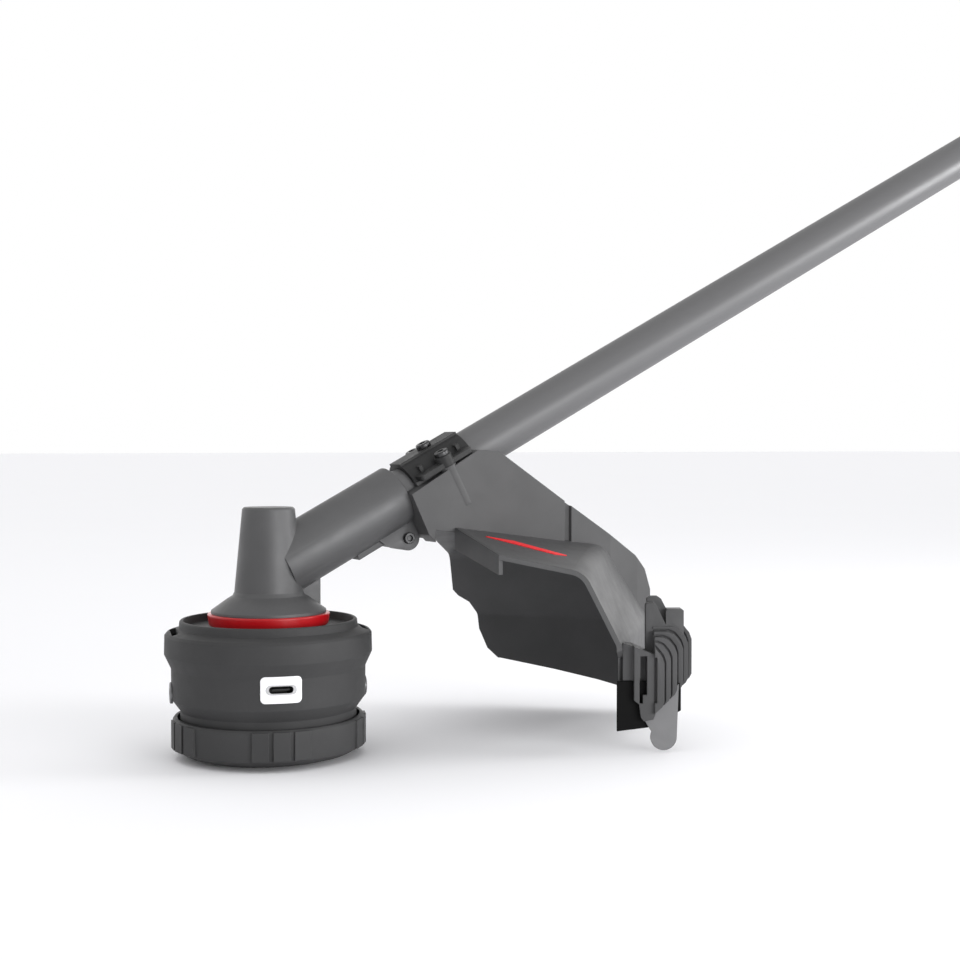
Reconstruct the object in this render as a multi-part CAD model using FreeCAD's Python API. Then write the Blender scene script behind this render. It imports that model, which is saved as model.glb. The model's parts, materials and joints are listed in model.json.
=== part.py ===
"""Cordless string trimmer with a straight shaft, as separate solids in one frame, in millimetres.

The head axis is +Z and the origin is the middle of the wear face under the bump knob.
The shaft lies in the plane Y = 0 and rises towards +X.
Shapes on the shaft are first made along +X, with the crossing of both axes as their origin.
"""

import FreeCAD, Part
import math
import os

# shaft line
SHAFT_TILT = 27.58
CROSSING_Z = 96.05
TUBE_R = 12.7
TUBE_BORE = 11.2
TUBE_START = 40.0
TUBE_END = 1178.0
RUNNING = 0.05
GAP = 0.4

# bump knob and drum
KNOB_R = 50.3
KNOB_BAND_BOTTOM = 5.2
KNOB_BAND_TOP = 21.1
KNOB_BORE = 47.6
KNOB_FLOOR = 6.5
WEAR_R = 30.0
GRIP_CLUSTERS = 5
GRIP_PHASE = -104.0
GRIP_PAD = 8.5
GRIP_STEP = 10.6
GRIP_RISE = 0.9
DRUM_SKIRT_R = 46.1
DRUM_SKIRT_BOTTOM = 10.8
DRUM_R = 50.8
DRUM_BELT_R = 54.3
DRUM_TOP = 65.3
DRUM_RIM_R = 46.4
DRUM_RIM_TOP = 71.4
DISH_FLOOR = 67.2
DRUM_WALL = 2.5
HUB_R = 9.0
EYELET_ANGLES = (-14.0, 166.0)
EYELET_Z = 34.2

# charging port on the drum
PORT_ANGLE = -104.4
PORT_Z = 41.6
PORT_W = 20.6
PORT_H = 13.4
PORT_CORNER = 2.4
PORT_RISE = 0.6
SLOT_W = 15.4
SLOT_END = 1.6
SLOT_H = 4.8

# spool
SPOOL_BOTTOM = 12.0
SPOOL_TOP = 58.0
SPOOL_R = 40.0
SPOOL_CORE_R = 20.0
SPOOL_BORE = 13.0
FLANGE = 2.5
LINE_R = 34.0

# spindle and gear case
SPINDLE_R = 5.0
SPINDLE_NECK_R = 4.0
SPINDLE_BOTTOM = 11.2
SPINDLE_STEP = 90.0
CASE_FLANGE_R = 30.1
CASE_BOTTOM = 74.7
CASE_FLANGE_TOP = 76.2
BOSS_R = 18.2
BOSS_FOOT = 83.8
BOSS_TOP_R = 13.75
BOSS_TOP = 130.2
NECK_R = 17.2
NECK_START = 6.0
NECK_END = 84.5
LUG_S = 76.3
LUG_Q = -22.0
LUG_R = 6.8
BOLT_R = 1.9
BOLT_HEAD_R = 3.1
CAP_R = 3.2
CAP_Z = 106.0
COLLAR_R = 32.0
COLLAR_BOTTOM = 68.4

# bevel pair
PINION_TEETH = 14
GEAR_TEETH = 18
CONE_LENGTH = 20.7
FACE_WIDTH = 7.0
TOOTH_FILL = 0.36
ADDENDUM = 0.80
DEDENDUM = 1.10

# guard: a faceted hood on a hollow spine; the far side is cut back at the front
GUARD_WALL = 2.6
GUARD_FRONT = 100.0
GUARD_REAR = 241.0
SPINE_HALF = 22.0
DECK_TOP = 136.6
DECK = (0.135, 0.249, 1.0)
DECK_BEND = 14.0
SKIRT_BEND = 9.0
SHOULDER = (0.66, 0.62, 0.43)
SHOULDER_REACH = 188.6
SKIRT = (0.728, 0.684, 0.0)
SKIRT_REACH = 181.0
SIDE = (-0.351, 0.936, 0.0)
SIDE_REACH = 29.95
CLAMP_START = 91.4
CLAMP_END = 130.6
CLAMP_R = 15.6
CLAMP_SEAT = 4.3
CLAMP_SCREW_S = 112.0
CLAMP_SCREW_Y = 17.4

# line cutter on the near end of the skirt
CUTTER_ANGLE = -28.5
CUTTER_IN = 184.0
CUTTER_OUT = 218.0
HOLDER_FACE = 203.5
HEM_RHO = 200.0
HEM_Z = 18.0
HOLDER_FRONT = -4.6
RIB_GROOVE = 0.9
TONGUE_FRONT = -3.0
TONGUE_BACK = -1.8
# each rib's outer reach, front face and top, from the nearest to the farthest
RIBS = ((208.5, -6.6, 57.0), (212.0, -5.8, 59.0), (215.5, -4.8, 61.5), (219.0, -2.0, 64.0),
        (222.3, 2.5, 66.3), (225.0, 7.5, 68.0))

# drive line, bushings and strap eye, as distances along the shaft line
DRIVE_R = 3.9
DRIVE_START = 39.0
DRIVE_END = 1300.0
BUSHINGS = (240.0, 500.0, 760.0, 1020.0)
STRAP_S = 1085.0
STRAP_EYE_Q = 25.0
STRAP_EYE_R = 5.2

# front loop handle
HANDLE_S = 900.0
LOOP_HALF = 85.0
LOOP_LOW = 27.0
LOOP_HIGH = 152.0
LOOP_CORNER = 42.0
LOOP_R = 10.0
LOOP_LEAN = 14.0
BRACKET_HALF = 24.0
BRACKET_BOLTS = [(s, y) for s in (-17.0, 17.0) for y in (-18.0, 18.0)]

# rear handle and power head
CASE_WALL = 2.6
GRIP_START = 1150.0
GRIP_END = 1300.0
HEAD_START = 1286.0
HEAD_END = 1450.0
TRIGGER_S = 1192.0
TRIGGER_Q = -9.0
LOCK_S = 1252.0
LOCK_Q = 14.0
PIN_R = 2.0
MOTOR_MID = 1350.0
STATOR_R = 34.0
ROTOR_R = 19.6
MOTOR_TEETH = 9
CASE_SCREWS = ((1300.0, -40.0), (1300.0, 36.0), (1436.0, -42.0), (1436.0, 38.0))
BLADE_ROWS = (-21.0, -7.0, 7.0, 21.0)
BUTTON_S = 1322.0


def vec(x, y, z):
    return FreeCAD.Vector(x, y, z)


Z_AXIS = vec(0, 0, 1)
Y_AXIS = vec(0, 1, 0)
X_AXIS = vec(1, 0, 0)
ORIGIN = vec(0, 0, 0)


def save(name, shape):
    """Write one node's STEP file."""
    os.makedirs("parts", exist_ok=True)
    shape.exportStep("parts/" + name + ".step")


def loop(points):
    """A closed planar face through 3-D points."""
    return Part.Face(Part.makePolygon(points + [points[0]]))


def turned(profile):
    """A solid of revolution about Z from (radius, z) points."""
    face = loop([vec(r, 0, z) for r, z in profile])
    return face.revolve(ORIGIN, Z_AXIS, 360)


def turned_on_shaft(profile):
    """A solid of revolution about the shaft line from (s, radius) points."""
    face = loop([vec(s, 0, r) for s, r in profile])
    return face.revolve(ORIGIN, X_AXIS, 360)


def upright(radius, z0, z1, x=0.0, y=0.0):
    return Part.makeCylinder(radius, z1 - z0, vec(x, y, z0))


def rod(radius, s0, s1, y=0.0, q=0.0):
    return Part.makeCylinder(radius, s1 - s0, vec(s0, y, q), X_AXIS)


def cross_pin(radius, y0, y1, s, q):
    return Part.makeCylinder(radius, y1 - y0, vec(s, y0, q), Y_AXIS)


def pipe(outer, inner, s0, s1):
    return rod(outer, s0, s1).cut(rod(inner, s0 - 1, s1 + 1))


def block(x0, x1, y0, y1, z0, z1):
    return Part.makeBox(x1 - x0, y1 - y0, z1 - z0, vec(x0, y0, z0))


def plate_y(points, y0, y1):
    """An outline in X and Z, given a thickness along Y."""
    return loop([vec(x, y0, z) for x, z in points]).extrude(vec(0, y1 - y0, 0))


def plate_z(points, z0, z1):
    """An outline in X and Y, given a thickness along Z."""
    return loop([vec(x, y, z0) for x, y in points]).extrude(vec(0, 0, z1 - z0))


def rounded(shape, radius, wanted):
    """Round the edges for which wanted(edge) is true."""
    edges = [edge for edge in shape.Edges if wanted(edge)]
    return shape.makeFillet(radius, edges)


def along(axis):
    """A test for straight edges that run along an axis."""
    def test(edge):
        if not isinstance(edge.Curve, Part.Line):
            return False
        return abs(edge.Curve.Direction.dot(axis)) > 0.999
    return test


def pillow(x0, x1, y0, y1, z0, z1, radius):
    """A block with all its edges rounded."""
    shape = block(x0, x1, y0, y1, z0, z1)
    return shape.makeFillet(radius, shape.Edges)


def fused(shapes):
    return shapes[0].multiFuse(shapes[1:]).removeSplitter()



def spun(shape, angle):
    """A copy turned about Z."""
    copy = shape.copy()
    copy.rotate(ORIGIN, Z_AXIS, angle)
    return copy


def rolled(shape, angle):
    """A copy turned about the shaft line, before it is placed."""
    copy = shape.copy()
    copy.rotate(ORIGIN, X_AXIS, angle)
    return copy


def on_shaft(shape):
    """Place a shape made along +X on the tilted shaft line."""
    copy = shape.copy()
    copy.rotate(ORIGIN, Y_AXIS, -SHAFT_TILT)
    copy.translate(vec(0, 0, CROSSING_Z))
    return copy


def hexagon(radius, z0, z1):
    points = [(radius * math.cos(math.radians(60 * i)), radius * math.sin(math.radians(60 * i)))
              for i in range(6)]
    return plate_z(points, z0, z1)


def helix(radius, wire, z0, z1, pitch):
    """A round wire wound as a spring about Z."""
    path = Part.makeHelix(pitch, z1 - z0 - 2 * wire, radius)
    path.translate(vec(0, 0, z0 + wire))
    ring = Part.Wire(Part.makeCircle(wire, vec(radius, 0, z0 + wire), Y_AXIS))
    return Part.Wire(path.Edges).makePipeShell([ring], True, True)


# ---- head ----

def bump_knob():
    """The cap that is turned to wind line in and bumped on the ground to let line out."""
    cup = turned([(0, 0), (WEAR_R, 0), (38, 0.5), (44, 2.2), (49.4, KNOB_BAND_BOTTOM),
                  (KNOB_R - 0.7, KNOB_BAND_BOTTOM + 3), (KNOB_R - 0.3, KNOB_BAND_TOP - 1.2),
                  (KNOB_R - 1.2, KNOB_BAND_TOP), (KNOB_BORE, KNOB_BAND_TOP),
                  (KNOB_BORE - 0.4, KNOB_FLOOR), (0, KNOB_FLOOR)])
    hub = upright(17.0, KNOB_FLOOR, SPOOL_BOTTOM).cut(upright(11.0, KNOB_FLOOR, SPOOL_BOTTOM))
    pads = []
    for cluster in range(GRIP_CLUSTERS):
        for step in (-1, 0, 1):
            pad = block(KNOB_R - 2, KNOB_R + GRIP_RISE - 0.4, -GRIP_PAD / 2, GRIP_PAD / 2,
                        KNOB_BAND_BOTTOM + 0.6, KNOB_BAND_TOP - 0.8)
            turn = GRIP_PHASE + cluster * 360.0 / GRIP_CLUSTERS
            turn += step * math.degrees(GRIP_STEP / KNOB_R)
            pads.append(spun(pad, turn))
    return fused([cup, hub] + pads)


def port_prism(width, height, corner, r0, r1):
    """A rounded bar that points outwards at the charging port."""
    bar = block(r0, r1, -width / 2, width / 2, PORT_Z - height / 2, PORT_Z + height / 2)
    return spun(rounded(bar, corner, along(X_AXIS)), PORT_ANGLE)


def drum_ring(outer, inner, z0, z1):
    return upright(outer, z0, z1).cut(upright(inner, z0, z1))


def head_housing():
    """The drum: skirt, cone, belt, shoulder, rim and dish, hollow for the spool."""
    shell = turned([(43.6, DRUM_SKIRT_BOTTOM), (45.9, DRUM_SKIRT_BOTTOM), (DRUM_SKIRT_R, 24.7),
                    (DRUM_R - 0.2, 30.9), (DRUM_R, 46.7), (DRUM_BELT_R, 54.2),
                    (DRUM_BELT_R - 0.2, DRUM_TOP - 1.4), (DRUM_BELT_R - 1.4, DRUM_TOP),
                    (DRUM_RIM_R + 0.4, 67.2), (DRUM_RIM_R, DRUM_RIM_TOP - 0.6),
                    (DRUM_RIM_R - 0.6, DRUM_RIM_TOP), (DRUM_RIM_R - 1.8, DRUM_RIM_TOP),
                    (DRUM_RIM_R - 2.2, DISH_FLOOR), (SPINDLE_R, DISH_FLOOR),
                    (SPINDLE_R, 38.5), (HUB_R, 38.5), (HUB_R, 62.0), (13.0, DISH_FLOOR - DRUM_WALL),
                    (45.0, DISH_FLOOR - DRUM_WALL), (51.6, 62.4), (51.6, 54.8),
                    (DRUM_R - DRUM_WALL, 47.4), (DRUM_R - DRUM_WALL, 31.6), (43.6, 25.6)])
    cuts = []
    for angle in EYELET_ANGLES:
        hole = Part.makeCylinder(4.2, 12, vec(44, 0, EYELET_Z), X_AXIS).fuse(
            Part.makeCylinder(5.6, 6, vec(50.0, 0, EYELET_Z), X_AXIS))
        window = block(47.6, 51.0, -13, 13, 60.0, 70.0)
        cuts += [spun(hole, angle), spun(window, angle)]
    cuts.append(port_prism(PORT_W, PORT_H, PORT_CORNER, 44.0, 56.0))
    return shell.cut(cuts[0].multiFuse(cuts[1:]))


def line_eyelets():
    """Two flanged metal bushes that the cutting line leaves through."""
    bush = Part.makeCylinder(4.2, 4.0, vec(46.6, 0, EYELET_Z), X_AXIS)
    flange = Part.makeCylinder(5.6, 1.6, vec(50.0, 0, EYELET_Z), X_AXIS)
    flange = rounded(flange, 0.7, lambda edge: edge.BoundBox.XMin > 51.0)
    bore = Part.makeCylinder(2.2, 12, vec(44, 0, EYELET_Z), X_AXIS)
    eyelet = bush.fuse(flange).cut(bore)
    return Part.makeCompound([spun(eyelet, angle) for angle in EYELET_ANGLES])


def port_plate():
    """The pale escutcheon that follows the drum, with a slot for the charging plug."""
    face = port_prism(PORT_W, PORT_H, PORT_CORNER, 44.0, 56.0)
    skin = drum_ring(DRUM_R + PORT_RISE, DRUM_R - DRUM_WALL, PORT_Z - 10, PORT_Z + 10)
    slot = port_prism(SLOT_W, SLOT_H, SLOT_H / 2 - 0.01, 42.0, 58.0)
    return face.common(skin).cut(slot)


def port_shell():
    """The socket's metal shell, closed at the back."""
    outer = port_prism(SLOT_W, SLOT_H, SLOT_H / 2 - 0.01, 44.0, DRUM_R + 0.1)
    inner = port_prism(SLOT_W - 2 * SLOT_END, SLOT_H - 1.2, SLOT_H / 2 - 0.61, 45.0, DRUM_R + 1.0)
    return outer.cut(inner)


def port_tongue():
    return port_prism(8.6, 0.9, 0.3, 45.0, DRUM_R - 0.8)


def port_board():
    """The small board that holds the socket and the head's electronics."""
    board = block(42.4, 44.0, -12, 12, PORT_Z - 6, PORT_Z + 6)
    chip = block(41.6, 42.4, 3, 8, PORT_Z - 2.5, PORT_Z + 2.5)
    return spun(board.fuse(chip), PORT_ANGLE)


def spool():
    """Two flanges on a hollow core, with a ledge that the spring sits on."""
    body = turned([(SPOOL_BORE, SPOOL_BOTTOM), (SPOOL_R, SPOOL_BOTTOM),
                   (SPOOL_R, SPOOL_BOTTOM + FLANGE), (SPOOL_CORE_R, SPOOL_BOTTOM + FLANGE),
                   (SPOOL_CORE_R, SPOOL_TOP - FLANGE), (SPOOL_R, SPOOL_TOP - FLANGE),
                   (SPOOL_R, SPOOL_TOP), (SPOOL_BORE, SPOOL_TOP), (SPOOL_BORE, 42.0),
                   (HUB_R + 0.7, 42.0), (HUB_R + 0.7, 39.6), (SPOOL_BORE, 39.6)])
    slots = [spun(block(34.0, 41.0, -2.5, 2.5, 50.0, 60.0), 60 * i) for i in range(6)]
    return body.cut(slots[0].multiFuse(slots[1:]))


def wound_line():
    """The cutting line on the spool, as one bundle with a rounded outside."""
    low = SPOOL_BOTTOM + FLANGE
    high = SPOOL_TOP - FLANGE
    return turned([(SPOOL_CORE_R, low), (LINE_R - 1.5, low), (LINE_R, low + 4),
                   (LINE_R, high - 4), (LINE_R - 1.5, high), (SPOOL_CORE_R, high)])


def arbor_hub():
    """The ratchet hub on the spindle that carries the spool and lets it wind one way."""
    hub = turned([(SPINDLE_R + RUNNING, 18.0), (10.4, 18.0), (12.4, 20.0), (12.4, 34.0),
                  (10.5, 38.0), (SPINDLE_R + RUNNING, 38.0)])
    notch = block(11.2, 14.0, -1.4, 1.4, 20.0, 33.0)
    notches = [spun(notch, 45 * i) for i in range(8)]
    return hub.cut(notches[0].multiFuse(notches[1:]))


def head_nut():
    """The nut on the lower end of the spindle that holds the head together."""
    nut = hexagon(8.6, SPINDLE_BOTTOM + 0.3, 17.5)
    return nut.cut(upright(SPINDLE_R, SPINDLE_BOTTOM, 18.0))


def bump_spring():
    return helix(11.2, 0.9, 42.0, 62.0, 3.6)


def spindle():
    """The output shaft, thinner through the gear and the upper bearing."""
    return turned([(0, SPINDLE_BOTTOM), (SPINDLE_R - 0.6, SPINDLE_BOTTOM),
                   (SPINDLE_R, SPINDLE_BOTTOM + 0.6), (SPINDLE_R, SPINDLE_STEP),
                   (SPINDLE_NECK_R, SPINDLE_STEP), (SPINDLE_NECK_R, 124.5), (0, 124.5)])


# ---- gear case ----

def cone_angles():
    """Pitch half-angles of the pinion and the gear, which add up to the shaft angle."""
    sigma = math.radians(90.0 - SHAFT_TILT)
    ratio = PINION_TEETH / float(GEAR_TEETH)
    pinion = math.atan2(math.sin(sigma), 1.0 / ratio + math.cos(sigma))
    return pinion, sigma - pinion


def bevel(teeth, half_angle, bore, back):
    """A straight bevel wheel about Z with its apex at the origin."""
    module = 2 * CONE_LENGTH * math.sin(half_angle) / teeth
    tip = half_angle + math.atan(ADDENDUM * module / CONE_LENGTH)
    root = half_angle - math.atan(DEDENDUM * module / CONE_LENGTH)
    small = (CONE_LENGTH - FACE_WIDTH) / CONE_LENGTH

    def at(angle, reach, swing=0.0):
        r = reach * math.sin(angle)
        return vec(r * math.cos(swing), r * math.sin(swing), reach * math.cos(angle))

    big_root = at(root, CONE_LENGTH)
    low_root = at(root, CONE_LENGTH * small)
    body = turned([(bore, low_root.z), (low_root.x, low_root.z), (big_root.x, big_root.z),
                   (big_root.x - 1.0, big_root.z + back), (bore, big_root.z + back)])
    wide = 2 * math.pi * TOOTH_FILL / teeth
    narrow = wide * 0.55
    deep = root - math.radians(1.5)
    corners = [(deep, -wide / 2), (deep, wide / 2), (tip, narrow / 2), (tip, -narrow / 2)]
    outer = [at(angle, CONE_LENGTH, swing) for angle, swing in corners]
    inner = [point * small for point in outer]
    wires = [Part.makePolygon(ring + [ring[0]]) for ring in (inner, outer)]
    tooth = Part.makeLoft(wires, True, True)
    return fused([body] + [spun(tooth, 360.0 * i / teeth) for i in range(teeth)])


def bevel_gear():
    """The driven gear on the spindle, above the crossing of the two shafts."""
    gear = bevel(GEAR_TEETH, cone_angles()[1], SPINDLE_NECK_R, 2.6)
    gear.translate(vec(0, 0, CROSSING_Z))
    return gear


def pinion():
    """The driving pinion with its own journal, on the shaft line."""
    wheel = bevel(PINION_TEETH, cone_angles()[0], SPINDLE_NECK_R, 1.6)
    journal = upright(SPINDLE_NECK_R, 13.0, 39.0)
    whole = wheel.fuse(journal)
    whole.rotate(ORIGIN, Z_AXIS, 180.0 / PINION_TEETH)
    whole.rotate(ORIGIN, Y_AXIS, 90.0)
    return on_shaft(whole)


def gear_case():
    """The cast case: flange cone, boss, neck for the tube, rib and pinch-bolt lug."""
    boss = turned([(0, CASE_BOTTOM), (CASE_FLANGE_R, CASE_BOTTOM),
                   (CASE_FLANGE_R, CASE_FLANGE_TOP), (BOSS_R + 3.5, BOSS_FOOT - 1.6),
                   (BOSS_R + 0.8, BOSS_FOOT), (BOSS_R - 0.2, BOSS_FOOT + 2.0),
                   (BOSS_TOP_R + 0.1, BOSS_TOP - 1.0), (BOSS_TOP_R - 0.9, BOSS_TOP),
                   (0, BOSS_TOP)])
    neck = rod(NECK_R, NECK_START, NECK_END)
    neck = rounded(neck, 0.8, lambda edge: edge.BoundBox.XMin > NECK_END - 0.1)
    pad = block(46.0, NECK_END, -7.0, 7.0, -18.7, 0.0)
    ears = cross_pin(LUG_R, -9.0, 9.0, LUG_S, LUG_Q).fuse(
        plate_y([(60.0, -14.0), (63.5, -20.5), (70.5, -25.6), (LUG_S, LUG_Q),
                 (LUG_S + LUG_R, LUG_Q), (NECK_END - 1.0, -14.0)], -9.0, 9.0))
    web = plate_y([(12.0, CASE_FLANGE_TOP), (28.0, CASE_FLANGE_TOP + 1.0), (28.0, 94.0),
                   (12.0, 96.0)], -3.5, 3.5)
    body = boss.multiFuse([on_shaft(neck.multiFuse([pad, ears])), web])
    inside = turned([(0, 70), (14.4, 70), (14.4, 77.0), (11.0, 77.0), (11.0, 86.0),
                     (12.6, 88.0), (13.3, 100.0), (13.3, 116.8), (8.0, 118.6), (8.0, 126.0),
                     (0, 126.0)])
    tunnel = rod(9.5, 14.0, 36.0).multiFuse([rod(11.2, 6.0, 20.4),
                                             rod(TUBE_R, 36.0, NECK_END + 1)])
    slit = block(60.0, NECK_END + 1, -0.9, 0.9, -32.0, -10.0)
    hole = cross_pin(BOLT_R, -20.0, 20.0, LUG_S, LUG_Q)
    grease = cross_pin(CAP_R, 0.0, 20.0, 0, CAP_Z)
    return body.cut(inside.multiFuse([grease, on_shaft(tunnel.multiFuse([slit, hole]))]))


def gear_case_cap():
    """The threaded plug over the grease hole, on the far side of the boss."""
    return cross_pin(CAP_R, 13.4, 17.6, 0, CAP_Z)


def red_collar():
    """The coloured seal ring under the gear case."""
    return turned([(24.0, COLLAR_BOTTOM), (COLLAR_R - 1.2, COLLAR_BOTTOM),
                   (COLLAR_R - 0.7, COLLAR_BOTTOM + 0.6), (COLLAR_R, CASE_BOTTOM - 0.5),
                   (COLLAR_R - 0.4, CASE_BOTTOM), (24.0, CASE_BOTTOM)])


def spindle_bearings():
    lower = drum_ring(11.0, SPINDLE_R + RUNNING, 78.0, 85.0)
    upper = drum_ring(8.0, SPINDLE_NECK_R + RUNNING, 119.2, 124.0)
    return Part.makeCompound([lower, upper])


def pinion_bearings():
    rings = [pipe(9.5, SPINDLE_NECK_R + RUNNING, s, s + 5.5) for s in (22.0, 29.5)]
    return on_shaft(Part.makeCompound(rings))


def pinch_bolt():
    """The bolt that closes the lug round the tube."""
    shank = cross_pin(BOLT_R, -9.0, 13.0, LUG_S, LUG_Q)
    head = cross_pin(BOLT_HEAD_R, -11.4, -9.0, LUG_S, LUG_Q)
    socket = cross_pin(1.5, -12.0, -10.0, LUG_S, LUG_Q)
    nut = cross_pin(BOLT_HEAD_R, 9.0, 12.0, LUG_S, LUG_Q)
    return on_shaft(head.multiFuse([shank, nut]).cut(socket))


# ---- guard ----

def half_space(normal, reach, side):
    """A big block on the inner side of a plane; side is the sign of Y that it belongs to."""
    outward = vec(normal[0], side * normal[1], normal[2])
    size = outward.Length
    slab = Part.makeBox(900, 900, 900, vec(-450, -450, -900))
    turn = FreeCAD.Rotation(Z_AXIS, outward)
    slab.Placement = FreeCAD.Placement(outward * (reach / size / size), turn).multiply(slab.Placement)
    return slab


def length(normal):
    return math.sqrt(sum(part * part for part in normal))


def lies_on(edge, normal, reach, side):
    """True when the middle of an edge lies on one of the hood's planes."""
    middle = edge.valueAt((edge.FirstParameter + edge.LastParameter) / 2)
    return abs(vec(normal[0], side * normal[1], normal[2]).dot(middle) - reach) < 0.05


def hood_solid(inset):
    """The filled hood, made smaller by an inset on the deck, shoulders, skirt and rear."""
    open_side = -12.0 if inset else 0.0
    solid = block(GUARD_FRONT + open_side, GUARD_REAR - inset, -130, 130, 0, 140)
    for side in (-1, 1):
        for normal, reach, offset in ((DECK, DECK_TOP, inset), (SHOULDER, SHOULDER_REACH, inset),
                                      (SKIRT, SKIRT_REACH, inset), (SIDE, SIDE_REACH, open_side)):
            solid = solid.common(half_space(normal, reach - offset * length(normal), side))
    return round_bends(solid.removeSplitter(), inset)


def round_bends(solid, inset):
    """Round the hood's bends from deck to shoulder and from shoulder to skirt."""
    bends = ((DECK, DECK_TOP, SHOULDER, SHOULDER_REACH, DECK_BEND),
             (SHOULDER, SHOULDER_REACH, SKIRT, SKIRT_REACH, SKIRT_BEND))
    for first, first_reach, second, second_reach, radius in bends:
        def wanted(edge):
            return any(lies_on(edge, first, first_reach - inset * length(first), side)
                       and lies_on(edge, second, second_reach - inset * length(second), side)
                       for side in (-1, 1))
        solid = rounded(solid, radius - inset, wanted)
    return solid


def spine_outline(inset):
    """The spine seen from the side, from the clamp down to the rear edge."""
    drop = 0.8 * inset
    return [(73.5 + inset, 136.3 - drop), (114.5, 160.3 - inset), (127.5 - drop, 159.6 - inset),
            (171.0 - drop, 131.0 - inset), (200.0 - drop, 113.5 - inset), (226.0 - drop, 97.5 - inset),
            (235.5 - inset, 88.5 - drop), (GUARD_REAR - inset, 76.0), (GUARD_REAR - inset, 40.0),
            (104.0, 40.0), (104.0, 96.0), (94.0 + inset, 104.0), (84.0 + inset, 114.0)]


def spine_solid(inset):
    """The filled spine: straight sides beside the clamp, a step, then a taper to the rear."""
    solid = plate_y(spine_outline(inset), -SPINE_HALF + inset, SPINE_HALF - inset)
    plan = [(60, -SPINE_HALF), (171, -SPINE_HALF), (171.4, -19.6), (175.4, -19.6),
            (176, -21.4), (205, -18.6), (228, -13.4), (242, -8.0)]
    mirrored = [(x, -y) for x, y in reversed(plan)]
    side = plate_z([(x, y + inset) for x, y in plan] + [(x, y - inset) for x, y in mirrored], 0, 200)
    return solid.common(side)


def guard():
    """The hood with its front lip, spine and the saddle that the tube rests in."""
    outer = hood_solid(0).fuse(spine_solid(0))
    inner = hood_solid(GUARD_WALL).fuse(spine_solid(GUARD_WALL))
    below = plate_y([(90, 0), (90, 30), (150, 29.5), (181, 29.0), (205, 23.5), (225, 18.0),
                     (242, 12.0), (242, 0)], -130, 130)
    far_end = loop([vec(90, y, z) for y, z in [(130, 99), (91.5, 97), (87, 82), (83.5, 68), (80, 64),
                                               (78.5, 47), (74.5, 35), (68.5, 28), (66, 0),
                                               (130, 0)]]).extrude(vec(160, 0, 0))
    near_end = loop([vec(150, y, z) for y, z in [(-130, 56), (-94, 56), (-88, 50), (-86, 0),
                                                 (-130, 0)]]).extrude(vec(60, 0, 0))
    far_front = plate_z([(80, SPINE_HALF), (104, SPINE_HALF), (165, 95.7), (80, 140)], 0, 125)
    shell = outer.cut(inner.multiFuse([below, far_end, near_end, far_front]))
    lip = loop([vec(GUARD_FRONT, y, z) for y, z in
                [(-21, 117.8), (-69.5, 105.7), (-69.5, 95.3), (-23.7, 105.3), (-21, 105.3)]])
    saddle = rod(CLAMP_R + 1.0, CLAMP_START, CLAMP_END).cut(block(0, 200, -30, 30, CLAMP_SEAT, 40))
    posts = [Part.makeCylinder(5.0, 24.0, vec(CLAMP_SCREW_S, y, CLAMP_SEAT - 24.0))
             for y in (-CLAMP_SCREW_Y, CLAMP_SCREW_Y)]
    holes = [Part.makeCylinder(2.0, 30.0, vec(CLAMP_SCREW_S, y, CLAMP_SEAT - 20.0))
             for y in (-CLAMP_SCREW_Y, CLAMP_SCREW_Y)]
    channel = rod(TUBE_R + RUNNING, 60.0, 220.0).multiFuse(
        [rod(NECK_R + GAP, 50.0, NECK_END + 0.6), block(50.0, NECK_END + 0.6, -9.6, 9.6, -30.0, 0.0)])
    open_top = block(60.0, 131.0, -18.0, 18.0, CLAMP_SEAT, 30.0)
    solid = shell.multiFuse([lip.extrude(vec(2.4, 0, 0)), on_shaft(saddle.multiFuse(posts))])
    solid = solid.cut(on_shaft(channel.multiFuse(holes + [open_top])))
    return solid.removeSplitter()


def guard_clamp():
    """The upper half of the clamp, with wings, screw bosses and a flat top."""
    arch = rod(CLAMP_R, CLAMP_START, CLAMP_END).multiFuse(
        [block(CLAMP_START, CLAMP_END, -6.5, 6.5, 8.0, CLAMP_R)])
    wings = block(CLAMP_START + 2, CLAMP_END - 2, -21.0, 21.0, CLAMP_SEAT, CLAMP_SEAT + 3.0)
    wings = rounded(wings, 2.0, along(Z_AXIS))
    bosses = [Part.makeCylinder(4.9, 6.4, vec(CLAMP_SCREW_S, y, CLAMP_SEAT))
              for y in (-CLAMP_SCREW_Y, CLAMP_SCREW_Y)]
    ribs = [block(s, s + 2.2, -15.0, 15.0, CLAMP_SEAT, CLAMP_SEAT + 7.0)
            for s in (CLAMP_START + 6.0, CLAMP_END - 8.0)]
    under = block(0, 200, -40, 40, -40, CLAMP_SEAT)
    holes = [Part.makeCylinder(2.2, 30, vec(CLAMP_SCREW_S, y, 0)) for y in (-CLAMP_SCREW_Y, CLAMP_SCREW_Y)]
    holes.append(Part.makeCylinder(2.5, 30, vec(CLAMP_SCREW_S, 0, 0)))
    body = arch.multiFuse([wings] + bosses + ribs)
    return on_shaft(body.cut(under.multiFuse([rod(TUBE_R + RUNNING, 60, 160)] + holes)))


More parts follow.
